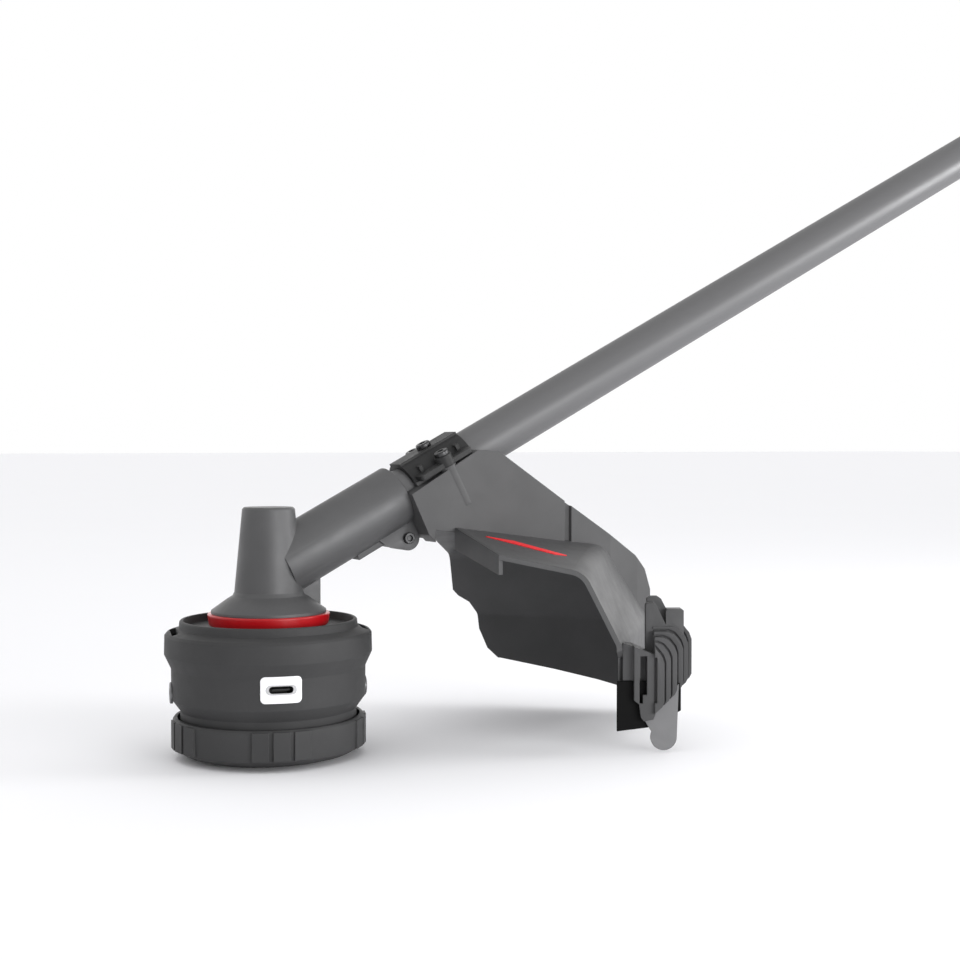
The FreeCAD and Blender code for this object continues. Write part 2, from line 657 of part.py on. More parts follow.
def clamp_screws():
    """Two screws through the wings and one that locates the clamp on the tube."""
    screws = []
    for y, seat, deep in ((-CLAMP_SCREW_Y, CLAMP_SEAT + 6.4, 22.0), (CLAMP_SCREW_Y, CLAMP_SEAT + 6.4, 22.0),
                          (0.0, CLAMP_R, 2.6)):
        head = Part.makeCylinder(4.2, 2.6, vec(CLAMP_SCREW_S, y, seat))
        head = rounded(head, 0.8, lambda edge: edge.BoundBox.ZMin > seat + 2.0)
        shank = Part.makeCylinder(2.0, deep, vec(CLAMP_SCREW_S, y, seat - deep))
        drive = hexagon(2.1, seat + 1.0, seat + 4.0)
        drive.translate(vec(CLAMP_SCREW_S, y, 0))
        screws.append(head.fuse(shank).cut(drive))
    return on_shaft(Part.makeCompound(screws))


def at_cutter(shape):
    """Turn a shape made along +X to the line cutter's place on the skirt."""
    return spun(shape, CUTTER_ANGLE)


def outside_skirt():
    """Everything within the skirt's outer face on the near side."""
    return half_space(SKIRT, SKIRT_REACH, -1)


def holder_hem(rho):
    """Height of the holder's slanted lower edge."""
    return HEM_Z + 0.93 * (rho - HEM_RHO) if rho < 216.0 else HEM_Z + 14.9 + 0.68 * (rho - 216.0)


def holder_rib(reach, top, front, back):
    """One of the ribs that wrap the holder's corner, each a step behind the one before."""
    edge = [(HOLDER_FACE, holder_hem(HOLDER_FACE)), (reach - 1.2, holder_hem(reach - 1.2)),
            (reach, holder_hem(reach) + 1.4), (reach, top - 9.0), (reach - 1.3, top - 5.4),
            (reach - 4.4, top - 1.6)]
    if reach - 8.0 > HOLDER_FACE:
        edge.append((reach - 8.0, top))
    return plate_y(edge + [(HOLDER_FACE, top)], front, back)


def rib_grooves():
    """The narrow grooves that part each rib from the one in front of it."""
    grooves = []
    for (reach, front, top), (_, next_front, _) in zip(RIBS, RIBS[1:]):
        wide = holder_rib(reach + RIB_GROOVE, top + RIB_GROOVE, next_front - 0.2, next_front + 1.3)
        grooves.append(wide.cut(holder_rib(reach, top, front - 1.0, next_front + 2.0)))
    return grooves


def blade_holder():
    """The ribbed clip with two tabs that carries the cutter."""
    web = plate_y([(180.0, 27.0), (194.0, 27.0), (194.0, 56.0), (180.0, 60.0)], -1.0, 13.0)
    face = plate_y([(192.8, 28.0), (195.4, 26.0), (196.4, HEM_Z + 1), (198.0, HEM_Z - 1), (203.0, HEM_Z),
                    (HOLDER_FACE + 1, 22.0), (HOLDER_FACE + 1, 52.0), (192.8, 56.5)], HOLDER_FRONT, 13.0)
    ribs = [holder_rib(reach, top, front, 14.0) for reach, front, top in RIBS]
    slots = [block(196.0, 199.6, -8.0, 1.0, 31.0, 51.5), block(195.6, 197.4, -8.0, -2.0, 26.5, 40.0),
             block(203.5, 204.7, -8.0, -3.8, 27.0, 51.0)]
    first = plate_y([(199.8, 50.0), (199.8, 78.0), (200.8, 79.0), (204.0, 79.0), (205.4, 77.6),
                     (213.6, 61.0), (213.6, 50.0)], 3.0, 8.0)
    ridge = plate_y([(201.0, 50.0), (201.0, 80.6), (203.0, 82.0), (206.6, 82.0), (208.6, 80.6),
                     (214.6, 69.0), (214.6, 50.0)], 8.0, 12.0)
    second = plate_y([(210.6, 50.0), (210.6, 74.6), (211.5, 75.5), (219.2, 75.5), (220.2, 74.6),
                      (220.2, 50.0)], 4.0, 12.0)
    body = web.multiFuse(ribs + [face, first, ridge, second])
    blade_pocket = block(180.0, CUTTER_OUT + 0.6, -1.6, 0.6, 5.0, 38.2)
    tongue_pocket = block(195.0, 217.2, TONGUE_FRONT - 0.2, -1.4, 5.0, 37.0)
    cuts = blade_pocket.multiFuse([tongue_pocket] + slots + rib_grooves())
    return at_cutter(body.cut(cuts)).cut(outside_skirt())


def cutter_tongue():
    """The rounded tongue that shields the cutter in front."""
    tip = Part.makeCylinder(7.0, TONGUE_BACK - TONGUE_FRONT, vec(208.6, TONGUE_FRONT, 8.4), Y_AXIS)
    blade = plate_y([(202.2, 11.0), (215.6, 8.0), (216.6, 36.5), (213.0, 34.0), (198.4, 22.0),
                     (198.4, 17.5)], TONGUE_FRONT, TONGUE_BACK)
    return at_cutter(tip.fuse(blade))


def line_cutter_blade():
    """The flat steel blade that trims the line to length."""
    return at_cutter(plate_y([(CUTTER_IN, 37.8), (CUTTER_IN, 11.1), (201, 13.2), (210, 17.5),
                              (CUTTER_OUT, 22.2), (CUTTER_OUT, 37.8)], -1.4, 0.2))


def deck_badge():
    """A plain slanted flash on the near side of the deck."""
    flash = plate_z([(112.0, -34.5), (128.0, -37.5), (151.0, -55.5), (143.0, -55.5)], 80, 140)
    low = half_space(DECK, DECK_TOP, -1)
    high = half_space(DECK, DECK_TOP + 0.5, -1)
    return flash.common(high).cut(low)


# ---- shaft, bushings and strap eye ----

def shaft_tube():
    return on_shaft(pipe(TUBE_R, TUBE_BORE, TUBE_START, TUBE_END))


def drive_shaft():
    """The long steel rod that turns inside the tube."""
    return on_shaft(rod(DRIVE_R, DRIVE_START, DRIVE_END))


def shaft_bushings():
    """Plastic sleeves that keep the drive shaft central."""
    rings = [turned_on_shaft([(s - 15, DRIVE_R + RUNNING), (s - 15, 9.6), (s - 12, TUBE_BORE),
                              (s + 12, TUBE_BORE), (s + 15, 9.6), (s + 15, DRIVE_R + RUNNING)])
             for s in BUSHINGS]
    return on_shaft(Part.makeCompound(rings))


def strap_hanger():
    """A ring clamped on the tube with an eye for the shoulder strap."""
    ring = pipe(16.4, TUBE_R, STRAP_S - 8, STRAP_S + 8)
    post = block(STRAP_S - 5, STRAP_S + 5, -4, 4, 14.0, STRAP_EYE_Q)
    eye = cross_pin(9.2, -4, 4, STRAP_S, STRAP_EYE_Q)
    ears = block(STRAP_S - 7, STRAP_S + 7, -6, 6, -26.0, -14.0)
    cuts = [cross_pin(STRAP_EYE_R, -6, 6, STRAP_S, STRAP_EYE_Q), rod(TUBE_R, STRAP_S - 9, STRAP_S + 9),
            block(STRAP_S - 9, STRAP_S + 9, -0.8, 0.8, -28, -11), cross_pin(2.1, -8, 8, STRAP_S, -21.0)]
    return on_shaft(ring.multiFuse([post, eye, ears]).cut(cuts[0].multiFuse(cuts[1:])))


def strap_screw():
    shank = cross_pin(2.1, -6, 6, STRAP_S, -21.0)
    head = cross_pin(4.0, -9.0, -6, STRAP_S, -21.0)
    nut = cross_pin(4.0, 6, 9.0, STRAP_S, -21.0)
    return on_shaft(head.multiFuse([shank, nut]))


# ---- front loop handle ----

def at_handle(shape):
    """Place a shape made about the tube's cross-section at the handle."""
    copy = shape.copy()
    copy.translate(vec(HANDLE_S, 0, 0))
    return on_shaft(copy)


def loop_point(y, q):
    """A point of the leaning loop, from its place across and above the tube."""
    lean = math.radians(LOOP_LEAN)
    rise = q - LOOP_LOW
    return vec(-rise * math.sin(lean), y, LOOP_LOW + rise * math.cos(lean))


def front_handle():
    """A closed D-shaped loop of round tube."""
    corners = [(LOOP_HALF, LOOP_LOW, -1, 1), (LOOP_HALF, LOOP_HIGH, -1, -1),
               (-LOOP_HALF, LOOP_HIGH, 1, -1), (-LOOP_HALF, LOOP_LOW, 1, 1)]
    near = LOOP_CORNER * (1 - math.sqrt(0.5))
    arcs = []
    for index, (y, q, dy, dq) in enumerate(corners):
        across = loop_point(y + dy * LOOP_CORNER, q)
        middle = loop_point(y + dy * near, q + dq * near)
        upward = loop_point(y, q + dq * LOOP_CORNER)
        ends = (across, upward) if index % 2 == 0 else (upward, across)
        arcs.append(Part.Arc(ends[0], middle, ends[1]))
    edges = []
    for index, arc in enumerate(arcs):
        following = arcs[(index + 1) % len(arcs)]
        edges.append(arc.toShape())
        edges.append(Part.LineSegment(arc.EndPoint, following.StartPoint).toShape())
    start = arcs[0].StartPoint
    ring = Part.Wire(Part.makeCircle(LOOP_R, start, Y_AXIS))
    return at_handle(Part.Wire(Part.__sortEdges__(edges)).makePipeShell([ring], True, False))


def handle_grip():
    """The soft sleeve on the top run of the loop."""
    half = LOOP_HALF - LOOP_CORNER
    middle = loop_point(0, LOOP_HIGH)
    sleeve = Part.makeCylinder(LOOP_R + 3.2, 2 * half, middle - vec(0, half, 0), Y_AXIS)
    sleeve = sleeve.makeFillet(2.0, [edge for edge in sleeve.Edges if edge.Closed])
    bar = Part.makeCylinder(LOOP_R, 2 * half + 2, middle - vec(0, half + 1, 0), Y_AXIS)
    return at_handle(sleeve.cut(bar))


def bolt_bars(radius, q0, q1):
    return [Part.makeCylinder(radius, q1 - q0, vec(s, y, q0)) for s, y in BRACKET_BOLTS]


def bracket_block(q0, q1):
    """One layer of the handle bracket, with the bolt holes through it."""
    layer = block(-BRACKET_HALF, BRACKET_HALF, -26, 26, q0, q1)
    layer = rounded(layer, 5.0, along(Z_AXIS))
    cuts = [rod(TUBE_R + RUNNING, -40, 40), Part.makeCylinder(LOOP_R, 80, vec(0, -40, LOOP_LOW), Y_AXIS)]
    cuts += bolt_bars(2.5, -60, 60)
    return layer.cut(cuts[0].multiFuse(cuts[1:]))


def handle_bracket_lower():
    stud_hole = Part.makeCylinder(3.0 + RUNNING, 30, vec(0, 0, -30))
    return at_handle(bracket_block(-20.0, -0.5).cut(stud_hole))


def handle_bracket_upper():
    return at_handle(bracket_block(0.5, LOOP_LOW - 0.3))


def handle_cap():
    return at_handle(bracket_block(LOOP_LOW + 0.3, LOOP_LOW + 15.0))


def handle_bolts():
    """Four bolts through cap and bracket."""
    shanks = bolt_bars(2.5, -20.0, LOOP_LOW + 15.0)
    heads = bolt_bars(4.4, LOOP_LOW + 15.0, LOOP_LOW + 18.4)
    return at_handle(Part.makeCompound([shank.fuse(head) for shank, head in zip(shanks, heads)]))


def handle_knob():
    """The lobed knob under the bracket whose stud holds it on the tube."""
    lobes = [Part.makeCylinder(5.0, 12.0, vec(11.0 * math.cos(math.radians(72 * i)),
                                              11.0 * math.sin(math.radians(72 * i)), -35.0))
             for i in range(5)]
    core = Part.makeCylinder(11.5, 12.0, vec(0, 0, -35.0))
    stud = Part.makeCylinder(3.0, 21.0, vec(0, 0, -34.0))
    return at_handle(core.multiFuse(lobes + [stud]))


# ---- rear handle and power head ----

def case_solid(inset):
    """The filled rear case: nose, grip, throat and motor bulb, made smaller by an inset."""
    nose = turned_on_shaft([(GRIP_START - 14 + inset, 0), (GRIP_START - 14 + inset, 17.0 - inset),
                            (GRIP_START + 8, 19.5 - inset), (GRIP_START + 40, 19.5 - inset),
                            (GRIP_START + 40, 0)])
    grip = pillow(GRIP_START + inset, GRIP_END, -17.5 + inset, 17.5 - inset,
                  -21.0 + inset, 21.0 - inset, 12.0 - inset)
    bulb = pillow(HEAD_START + inset, HEAD_END - inset, -43.0 + inset, 43.0 - inset,
                  -58.0 + inset, 52.0 - inset, 16.0 - inset)
    throat = plate_y([(1256 + inset, -18), (1300, -50 + inset), (1300, 44 - inset),
                      (1262 + inset, 18)], -13.0 + inset, 13.0 - inset)
    return nose.multiFuse([grip, bulb, throat])


def case_whole():
    """The hollow case with its openings, before it is split down the middle."""
    hollow = case_solid(0.0).cut(case_solid(CASE_WALL))
    plates = [block(s, s + 5.0, -40.0, 40.0, -55.0, 49.0).cut(rod(9.0, s - 1, s + 6)).common(
        case_solid(0.5)) for s in (1307.0, 1391.5)]
    nose_seat = pipe(18.0, TUBE_R, GRIP_START - 12, GRIP_START + 20)
    motor_seat = pipe(STATOR_R + 3.0, STATOR_R, MOTOR_MID - 22, MOTOR_MID + 22)
    body = hollow.multiFuse(plates + [nose_seat, motor_seat])
    cuts = [rod(TUBE_R, 1100, TUBE_END), rod(5.5, TUBE_END - 1, GRIP_END + 8),
            block(1183.0, 1236.0, -6.2, 6.2, -30.0, -14.0),
            block(1202.0, 1260.0, -6.2, 6.2, 13.0, 30.0),
            block(HEAD_END - 5, HEAD_END + 5, -29.0, 29.0, -35.0, 21.0),
            cross_pin(PIN_R, -15.5, 15.5, TRIGGER_S, TRIGGER_Q),
            cross_pin(PIN_R, -14.0, 14.0, LOCK_S, LOCK_Q),
            Part.makeCylinder(6.4, 8, vec(BUTTON_S, 0, 47))]
    for index in range(6):
        s = MOTOR_MID - 26 + 10.0 * index
        cuts.append(rounded(block(s, s + 4.2, -60, 60, -26, 26), 2.0, along(Y_AXIS)))
        cuts.append(rounded(block(s, s + 4.2, -60, 60, 33, 43), 2.0, along(Y_AXIS)))
    for s, q in CASE_SCREWS:
        cuts += [cross_pin(3.4, -60.0, -38.3, s, q), cross_pin(1.7, -41.0, 41.0, s, q)]
    return body.cut(cuts[0].multiFuse(cuts[1:]))


def case_half(side):
    """One shell of the case; side is the sign of its Y."""
    y0, y1 = (0, 90) if side > 0 else (-90, 0)
    half = case_whole().common(block(1100, 1500, y0, y1, -90, 90))
    return on_shaft(max(half.Solids, key=lambda solid: solid.Volume))


def rear_case_left():
    return case_half(1)


def rear_case_right():
    return case_half(-1)


def grip_overmold():
    """The rubber palm pad moulded over the underside of the grip."""
    outer = pillow(1238.0, 1284.0, -18.8, 18.8, -22.4, 22.4, 9.0)
    lower = block(1230, 1262, -30, 30, -40, 12)
    return on_shaft(outer.common(lower).cut(case_solid(0.0)))


def trigger():
    """The speed trigger under the grip, pivoted at its front."""
    lever = plate_y([(1186.0, -6.0), (1198.0, -6.0), (1204.0, -14.0), (1228.0, -15.5), (1231.0, -26.0),
                     (1226.0, -37.0), (1217.0, -39.0), (1208.0, -31.0), (1198.0, -23.0),
                     (1187.0, -21.0)], -5.6, 5.6)
    lever = rounded(lever, 1.5, lambda edge: along(Y_AXIS)(edge) and edge.BoundBox.ZMax < -20.0)
    return on_shaft(lever.cut(cross_pin(PIN_R + RUNNING, -10, 10, TRIGGER_S, TRIGGER_Q)))


def trigger_pin():
    return on_shaft(cross_pin(PIN_R, -15.0, 15.0, TRIGGER_S, TRIGGER_Q))


def trigger_spring():
    """The light spring that returns the trigger."""
    coil = helix(3.0, 0.6, -14.6, -6.6, 2.4)
    coil.translate(vec(1220.0, 0, 0))
    return on_shaft(coil)


def lock_lever():
    """The lock-off lever on top of the grip."""
    lever = plate_y([(1204.0, 19.5), (1206.0, 25.0), (1214.0, 27.5), (1246.0, 24.5), (1256.5, 19.0),
                     (1256.5, 9.8), (1248.0, 9.8), (1242.0, 17.0)], -5.6, 5.6)
    return on_shaft(lever.cut(cross_pin(PIN_R + RUNNING, -10, 10, LOCK_S, LOCK_Q)))


def lock_pin():
    return on_shaft(cross_pin(PIN_R, -13.5, 13.5, LOCK_S, LOCK_Q))


def speed_button():
    """The round button on the top of the power head."""
    cap = Part.makeCylinder(6.0, 5.2, vec(BUTTON_S, 0, 49.0))
    cap = rounded(cap, 1.2, lambda edge: edge.BoundBox.ZMin > 54.0)
    return on_shaft(cap.fuse(Part.makeCylinder(7.6, 1.2, vec(BUTTON_S, 0, 47.8))))


def motor_stator():
    """The laminated ring with its teeth."""
    ring = pipe(STATOR_R, STATOR_R - 4.0, MOTOR_MID - 18, MOTOR_MID + 18)
    tooth = block(MOTOR_MID - 18, MOTOR_MID + 18, -2.6, 2.6, ROTOR_R + 1.6, STATOR_R - 3.0)
    shoe = pipe(ROTOR_R + 2.2, ROTOR_R + 0.6, MOTOR_MID - 18, MOTOR_MID + 18).common(
        block(MOTOR_MID - 20, MOTOR_MID + 20, -5.4, 5.4, 0, 40))
    teeth = [rolled(part, 360.0 * i / MOTOR_TEETH) for i in range(MOTOR_TEETH) for part in (tooth, shoe)]
    return on_shaft(ring.multiFuse(teeth))


def motor_windings():
    """A coil round each stator tooth."""
    outer = rounded(block(MOTOR_MID - 22, MOTOR_MID + 22, -4.6, 4.6, ROTOR_R + 3.0, STATOR_R - 4.4),
                    1.6, along(Z_AXIS))
    coil = outer.cut(block(MOTOR_MID - 18, MOTOR_MID + 18, -2.6, 2.6, 0, 60))
    return on_shaft(Part.makeCompound([rolled(coil, 360.0 * i / MOTOR_TEETH) for i in range(MOTOR_TEETH)]))


def motor_rotor():
    """The rotor and its shaft, joined to the drive shaft."""
    body = rod(ROTOR_R, MOTOR_MID - 17, MOTOR_MID + 17)
    return on_shaft(body.fuse(rod(SPINDLE_NECK_R, DRIVE_END, 1399.0)))


def motor_fan():
    """The cooling fan behind the rotor."""
    disc = pipe(25.0, SPINDLE_NECK_R, 1376.0, 1377.6)
    hub = pipe(7.0, SPINDLE_NECK_R, 1376.0, 1388.0)
    vane = block(1377.0, 1387.0, -0.7, 0.7, 6.0, 24.6)
    return on_shaft(disc.multiFuse([hub] + [rolled(vane, 360.0 * i / 11) for i in range(11)]))


def motor_bearings():
    return on_shaft(Part.makeCompound([pipe(9.0, SPINDLE_NECK_R + RUNNING, s, s + 5.0)
                                       for s in (1307.0, 1391.5)]))


def control_board():
    """The drive electronics behind the motor, with capacitors and switches."""
    board = block(1402.0, 1403.6, -32, 32, -44, 40)
    cans = [rod(4.0, 1403.6, 1410.0, y, 30.0) for y in (-18.0, -6.0, 6.0, 18.0)]
    chips = [block(1403.6, 1406.0, y - 3, y + 3, -42.0, -38.0) for y in (-24.0, -12.0, 0.0, 12.0, 24.0)]
    return on_shaft(board.multiFuse(cans + chips))


def battery_terminals():
    """The block of four contact blades that the battery plugs onto."""
    base = block(1403.6, 1411.0, -26, 26, -16, 8)
    blades = [block(1411.0, 1431.0, y - 0.5, y + 0.5, -10, 4) for y in BLADE_ROWS]
    return on_shaft(base.multiFuse(blades))


def battery_case():
    """The pack with the tongue that slides into the case."""
    pack = pillow(HEAD_END + 0.8, 1532.0, -40.0, 40.0, -56.0, 48.0, 9.0)
    tongue = rounded(block(1417.0, 1465.0, -28.0, 28.0, -34.0, 20.0), 3.0, along(X_AXIS))
    slots = [block(1410.0, 1436.0, y - 1.4, y + 1.4, -14, 8) for y in BLADE_ROWS]
    pockets = [block(1472.0, 1498.0, 36.0, 44.0, -9.0, 9.0), block(1472.0, 1498.0, -44.0, -36.0, -9.0, 9.0)]
    grooves = [block(1532.0 - 1.4, 1534.0, -24.0, 24.0, q, q + 3.0) for q in (-24.0, -12.0, 0.0, 12.0)]
    return on_shaft(pack.fuse(tongue).cut(slots[0].multiFuse(slots[1:] + pockets + grooves)))


def latch_button(side):
    """A side button of the battery latch; side is the sign of its Y."""
    y0, y1 = (39.2, 43.0) if side > 0 else (-43.0, -39.2)
    button = block(1472.6, 1497.4, y0, y1, -8.4, 8.4)
    button = rounded(button, 1.0, lambda edge: abs(edge.CenterOfMass.y) > 42.5)
    return on_shaft(button)


def latch_button_left():
    return latch_button(1)


def latch_button_right():
    return latch_button(-1)


def case_screws():
    """The screws that join the two shells, set in from the right side."""
    screws = []
    for s, q in CASE_SCREWS:
        head = cross_pin(3.4, -40.5, -38.3, s, q).cut(cross_pin(1.4, -41.0, -39.3, s, q))
        screws.append(head.fuse(cross_pin(1.7, -38.4, 36.0, s, q)))
    return on_shaft(Part.makeCompound(screws))


NODES = (bump_knob, spool, wound_line, bump_spring, arbor_hub, head_housing, line_eyelets,
         port_plate, port_shell, port_tongue, port_board, head_nut, spindle, bevel_gear,
         pinion, gear_case, gear_case_cap, red_collar, spindle_bearings, pinion_bearings,
         pinch_bolt, guard, guard_clamp, clamp_screws, blade_holder, cutter_tongue,
         line_cutter_blade, deck_badge, shaft_tube, drive_shaft, shaft_bushings,
         strap_hanger, strap_screw, front_handle, handle_grip, handle_bracket_lower,
         handle_bracket_upper, handle_cap, handle_bolts, handle_knob, rear_case_left,
         rear_case_right, grip_overmold, trigger, trigger_pin, trigger_spring, lock_lever,
         lock_pin, speed_button, motor_stator, motor_windings, motor_rotor, motor_fan,
         motor_bearings, control_board, battery_terminals, battery_case, latch_button_left,
         latch_button_right, case_screws)


def main():
    """Write every node."""
    for make in NODES:
        save(make.__name__, make())


main()
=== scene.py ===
"""Looks of the string trimmer: materials, finished meshes, floor, light and camera."""

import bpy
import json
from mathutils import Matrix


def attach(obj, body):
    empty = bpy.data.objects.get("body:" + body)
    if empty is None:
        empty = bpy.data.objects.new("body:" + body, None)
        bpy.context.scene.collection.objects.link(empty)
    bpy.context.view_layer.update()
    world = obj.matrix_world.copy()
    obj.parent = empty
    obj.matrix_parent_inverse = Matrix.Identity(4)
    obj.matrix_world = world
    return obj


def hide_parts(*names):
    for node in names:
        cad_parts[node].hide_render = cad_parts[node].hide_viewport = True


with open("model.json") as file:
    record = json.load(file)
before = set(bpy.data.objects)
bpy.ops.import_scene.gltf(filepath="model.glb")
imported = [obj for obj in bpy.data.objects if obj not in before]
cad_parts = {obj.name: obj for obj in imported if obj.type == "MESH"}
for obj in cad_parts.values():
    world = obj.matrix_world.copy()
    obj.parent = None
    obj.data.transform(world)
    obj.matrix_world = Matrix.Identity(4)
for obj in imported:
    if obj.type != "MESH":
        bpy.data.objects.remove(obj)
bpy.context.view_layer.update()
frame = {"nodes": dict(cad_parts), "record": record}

import json
import math

import bmesh
import bpy
from mathutils import Vector

# Lengths are in metres and angles in degrees. The head axis is +Z and the shaft rises towards +X.
CAMERA_PLACE = (-0.27982, -0.72546, 0.16253)
CAMERA_AIM = (0.48978, 0.87153, -0.02349)
CAMERA_LENS = 54.78
CAMERA_SENSOR = 36.0
CAMERA_NEAR = 0.01

KEY_PLACE = (0.42, -1.45, 0.2)
KEY_AIM = (0.1, 0, 0.1)
KEY_SIZE = (0.9, 0.35)
KEY_POWER = 12.0
SIDE_PLACE = (1.35, -0.6, 0.42)
SIDE_AIM = (0.16, -0.05, 0.1)
SIDE_SIZE = (0.5, 0.35)
SIDE_POWER = 8.0
SUN_FROM = (0.2, 0.5, 1.5)
SUN_STRENGTH = 2.5
SUN_SPREAD = 150.0
HORIZON_UP = (-0.055, -0.1, 1.0)   # tipped a little, so that the white band is tallest behind
HORIZON_BRIGHT_TO = 0.2
HORIZON_DIM_FROM = 0.34
CEILING = 0.12
FLOOR_REACH = 30.0

SAME_POINT = 1e-6
FLAT_ANGLE = 1.0                   # small faces turned less than this are joined into one
ROUND_ANGLE = 14.0                 # edges turned more than this are rounded
HARD_ANGLE = 16.0                  # edges turned more than this stay sharp in the shading
ROUND_STEPS = 3
SOCKET_PAINTED_SHADE_TO = 0.0494            # distance from the head axis; painted shade fills the socket inside this and fades out by the next distance
SOCKET_UNSHADED_FROM = 0.0506
EDGE_CLEAR = 0.995                 # how far the rounded and the true normal agree
EDGE_WORN = 0.80

# Rounding radius of the nodes whose sharp edges would otherwise show. The guard, the rear cases
# and the battery case keep the CAD surface, which is already rounded.
ROUNDED = {"head_housing": 0.0004, "bump_knob": 0.00035, "gear_case": 0.0006, "red_collar": 0.0005,
           "port_plate": 0.0003, "guard_clamp": 0.0006, "line_cutter_blade": 0.0002,
           "cutter_tongue": 0.0006, "blade_holder": 0.0007, "handle_bracket_lower": 0.001,
           "handle_bracket_upper": 0.001, "handle_cap": 0.001, "handle_knob": 0.0012,
           "strap_hanger": 0.0008, "trigger": 0.001, "lock_lever": 0.001, "shaft_tube": 0.0003,
           "clamp_screws": 0.0002, "pinch_bolt": 0.0003, "line_eyelets": 0.0003}


# ---- materials ----

def linear(value):
    """Linear light from a screen value between 0 and 1."""
    return value / 12.92 if value <= 0.04045 else ((value + 0.055) / 1.055) ** 2.4


def tone(red, green, blue):
    """A colour from screen values between 0 and 1."""
    return (linear(red), linear(green), linear(blue), 1.0)


def grey(value):
    """A very slightly cool grey from a screen value."""
    return tone(value, value, value * 1.01)


def scaled(colour, gain, lift=0.0):
    """A lighter or darker version of a colour."""
    return tuple(min(1.0, part * gain + lift) for part in colour[:3]) + (1.0,)


class Maker:
    """Builds one procedural material node by node."""

    def __init__(self, name):
        self.material = bpy.data.materials.new(name)
        self.material.use_nodes = True
        self.tree = self.material.node_tree
        self.shader = self.tree.nodes["Principled BSDF"]
        self.place = self.add("ShaderNodeTexCoord").outputs["Object"]

    def add(self, kind, **settings):
        """A new node with some of its settings changed."""
        node = self.tree.nodes.new(kind)
        for key, value in settings.items():
            setattr(node, key, value)
        return node

    def link(self, source, target):
        self.tree.links.new(source, target)

    def set(self, socket, value):
        """Put a uniform value straight on one of the shader's sockets."""
        self.shader.inputs[socket].default_value = value

    def drive(self, socket, source):
        """Let a node drive one of the shader's sockets."""
        self.link(source, self.shader.inputs[socket])

    def noise(self, scale, detail=4.0, roughness=0.55, stretch=None):
        """A noise value; stretch scales the three axes before it."""
        vector = self.place
        if stretch:
            mapping = self.add("ShaderNodeMapping")
            mapping.inputs["Scale"].default_value = stretch
            self.link(vector, mapping.inputs["Vector"])
            vector = mapping.outputs["Vector"]
        node = self.add("ShaderNodeTexNoise")
        node.inputs["Scale"].default_value = scale
        node.inputs["Detail"].default_value = detail
        node.inputs["Roughness"].default_value = roughness
        self.link(vector, node.inputs["Vector"])
        return node.outputs["Fac"]

    def ramp(self, value, low, high, dark=0.0, light=1.0):
        """Map a value between two stops to a range."""
        node = self.add("ShaderNodeMapRange")
        node.inputs["From Min"].default_value = low
        node.inputs["From Max"].default_value = high
        node.inputs["To Min"].default_value = dark
        node.inputs["To Max"].default_value = light
        self.link(value, node.inputs["Value"])
        return node.outputs["Result"]

    def mix(self, factor, first, second):
        """Blend two colours, each given as a value or as a socket."""
        node = self.add("ShaderNodeMix", data_type="RGBA")
        self.link(factor, node.inputs["Factor"])
        for source, socket in ((first, node.inputs[6]), (second, node.inputs[7])):
            if isinstance(source, tuple):
                socket.default_value = source
            else:
                self.link(source, socket)
        return node.outputs[2]

    def worn(self, edge, marks, amount):
        """Where an edge mask and a scatter of marks meet, weakened by an amount."""
        both = self.add("ShaderNodeMath", operation="MULTIPLY")
        self.link(edge, both.inputs[0])
        self.link(marks, both.inputs[1])
        weak = self.add("ShaderNodeMath", operation="MULTIPLY")
        self.link(both.outputs[0], weak.inputs[0])
        weak.inputs[1].default_value = amount
        return weak.outputs[0]

    def bump(self, height, strength, distance, under=None):
        """A relief, laid over another normal if one is given."""
        node = self.add("ShaderNodeBump")
        node.inputs["Strength"].default_value = strength
        node.inputs["Distance"].default_value = distance
        self.link(height, node.inputs["Height"])
        if under is not None:
            self.link(under, node.inputs["Normal"])
        return node.outputs["Normal"]

    def edges(self, width):
        """A mask that is bright on the object's own sharp edges, and the rounded normal."""
        bevel = self.add("ShaderNodeBevel", samples=4)
        bevel.inputs["Radius"].default_value = width
        geometry = self.add("ShaderNodeNewGeometry")
        dot = self.add("ShaderNodeVectorMath", operation="DOT_PRODUCT")
        self.link(bevel.outputs["Normal"], dot.inputs[0])
        self.link(geometry.outputs["Normal"], dot.inputs[1])
        return self.ramp(dot.outputs["Value"], EDGE_CLEAR, EDGE_WORN), bevel.outputs["Normal"]


def plastic(name, colour, rough=0.5, depth=0.00004, wear=0.35, patch=0.06, spec=0.4):
    """Moulded plastic: fine spark grain, faint patches and rubbed edges."""
    m = Maker(name)
    broad = m.ramp(m.noise(22.0, 5.0), 0.35, 0.65)
    base = m.mix(broad, scaled(colour, 1.0 - patch * 2.5), colour)
    edge, soft = m.edges(0.0006)
    scuffs = m.ramp(m.noise(180.0, 6.0, 0.7), 0.42, 0.66)
    m.drive("Base Color", m.mix(m.worn(edge, scuffs, wear), base, scaled(colour, 1.9, 0.03)))
    m.drive("Roughness", m.ramp(m.noise(60.0, 6.0, 0.65), 0.3, 0.7, rough - 0.07, rough + 0.08))
    m.drive("Normal", m.bump(m.noise(2600.0, 2.0, 0.5), 0.35, depth, soft))
    m.set("Specular IOR Level", spec)
    return m.material


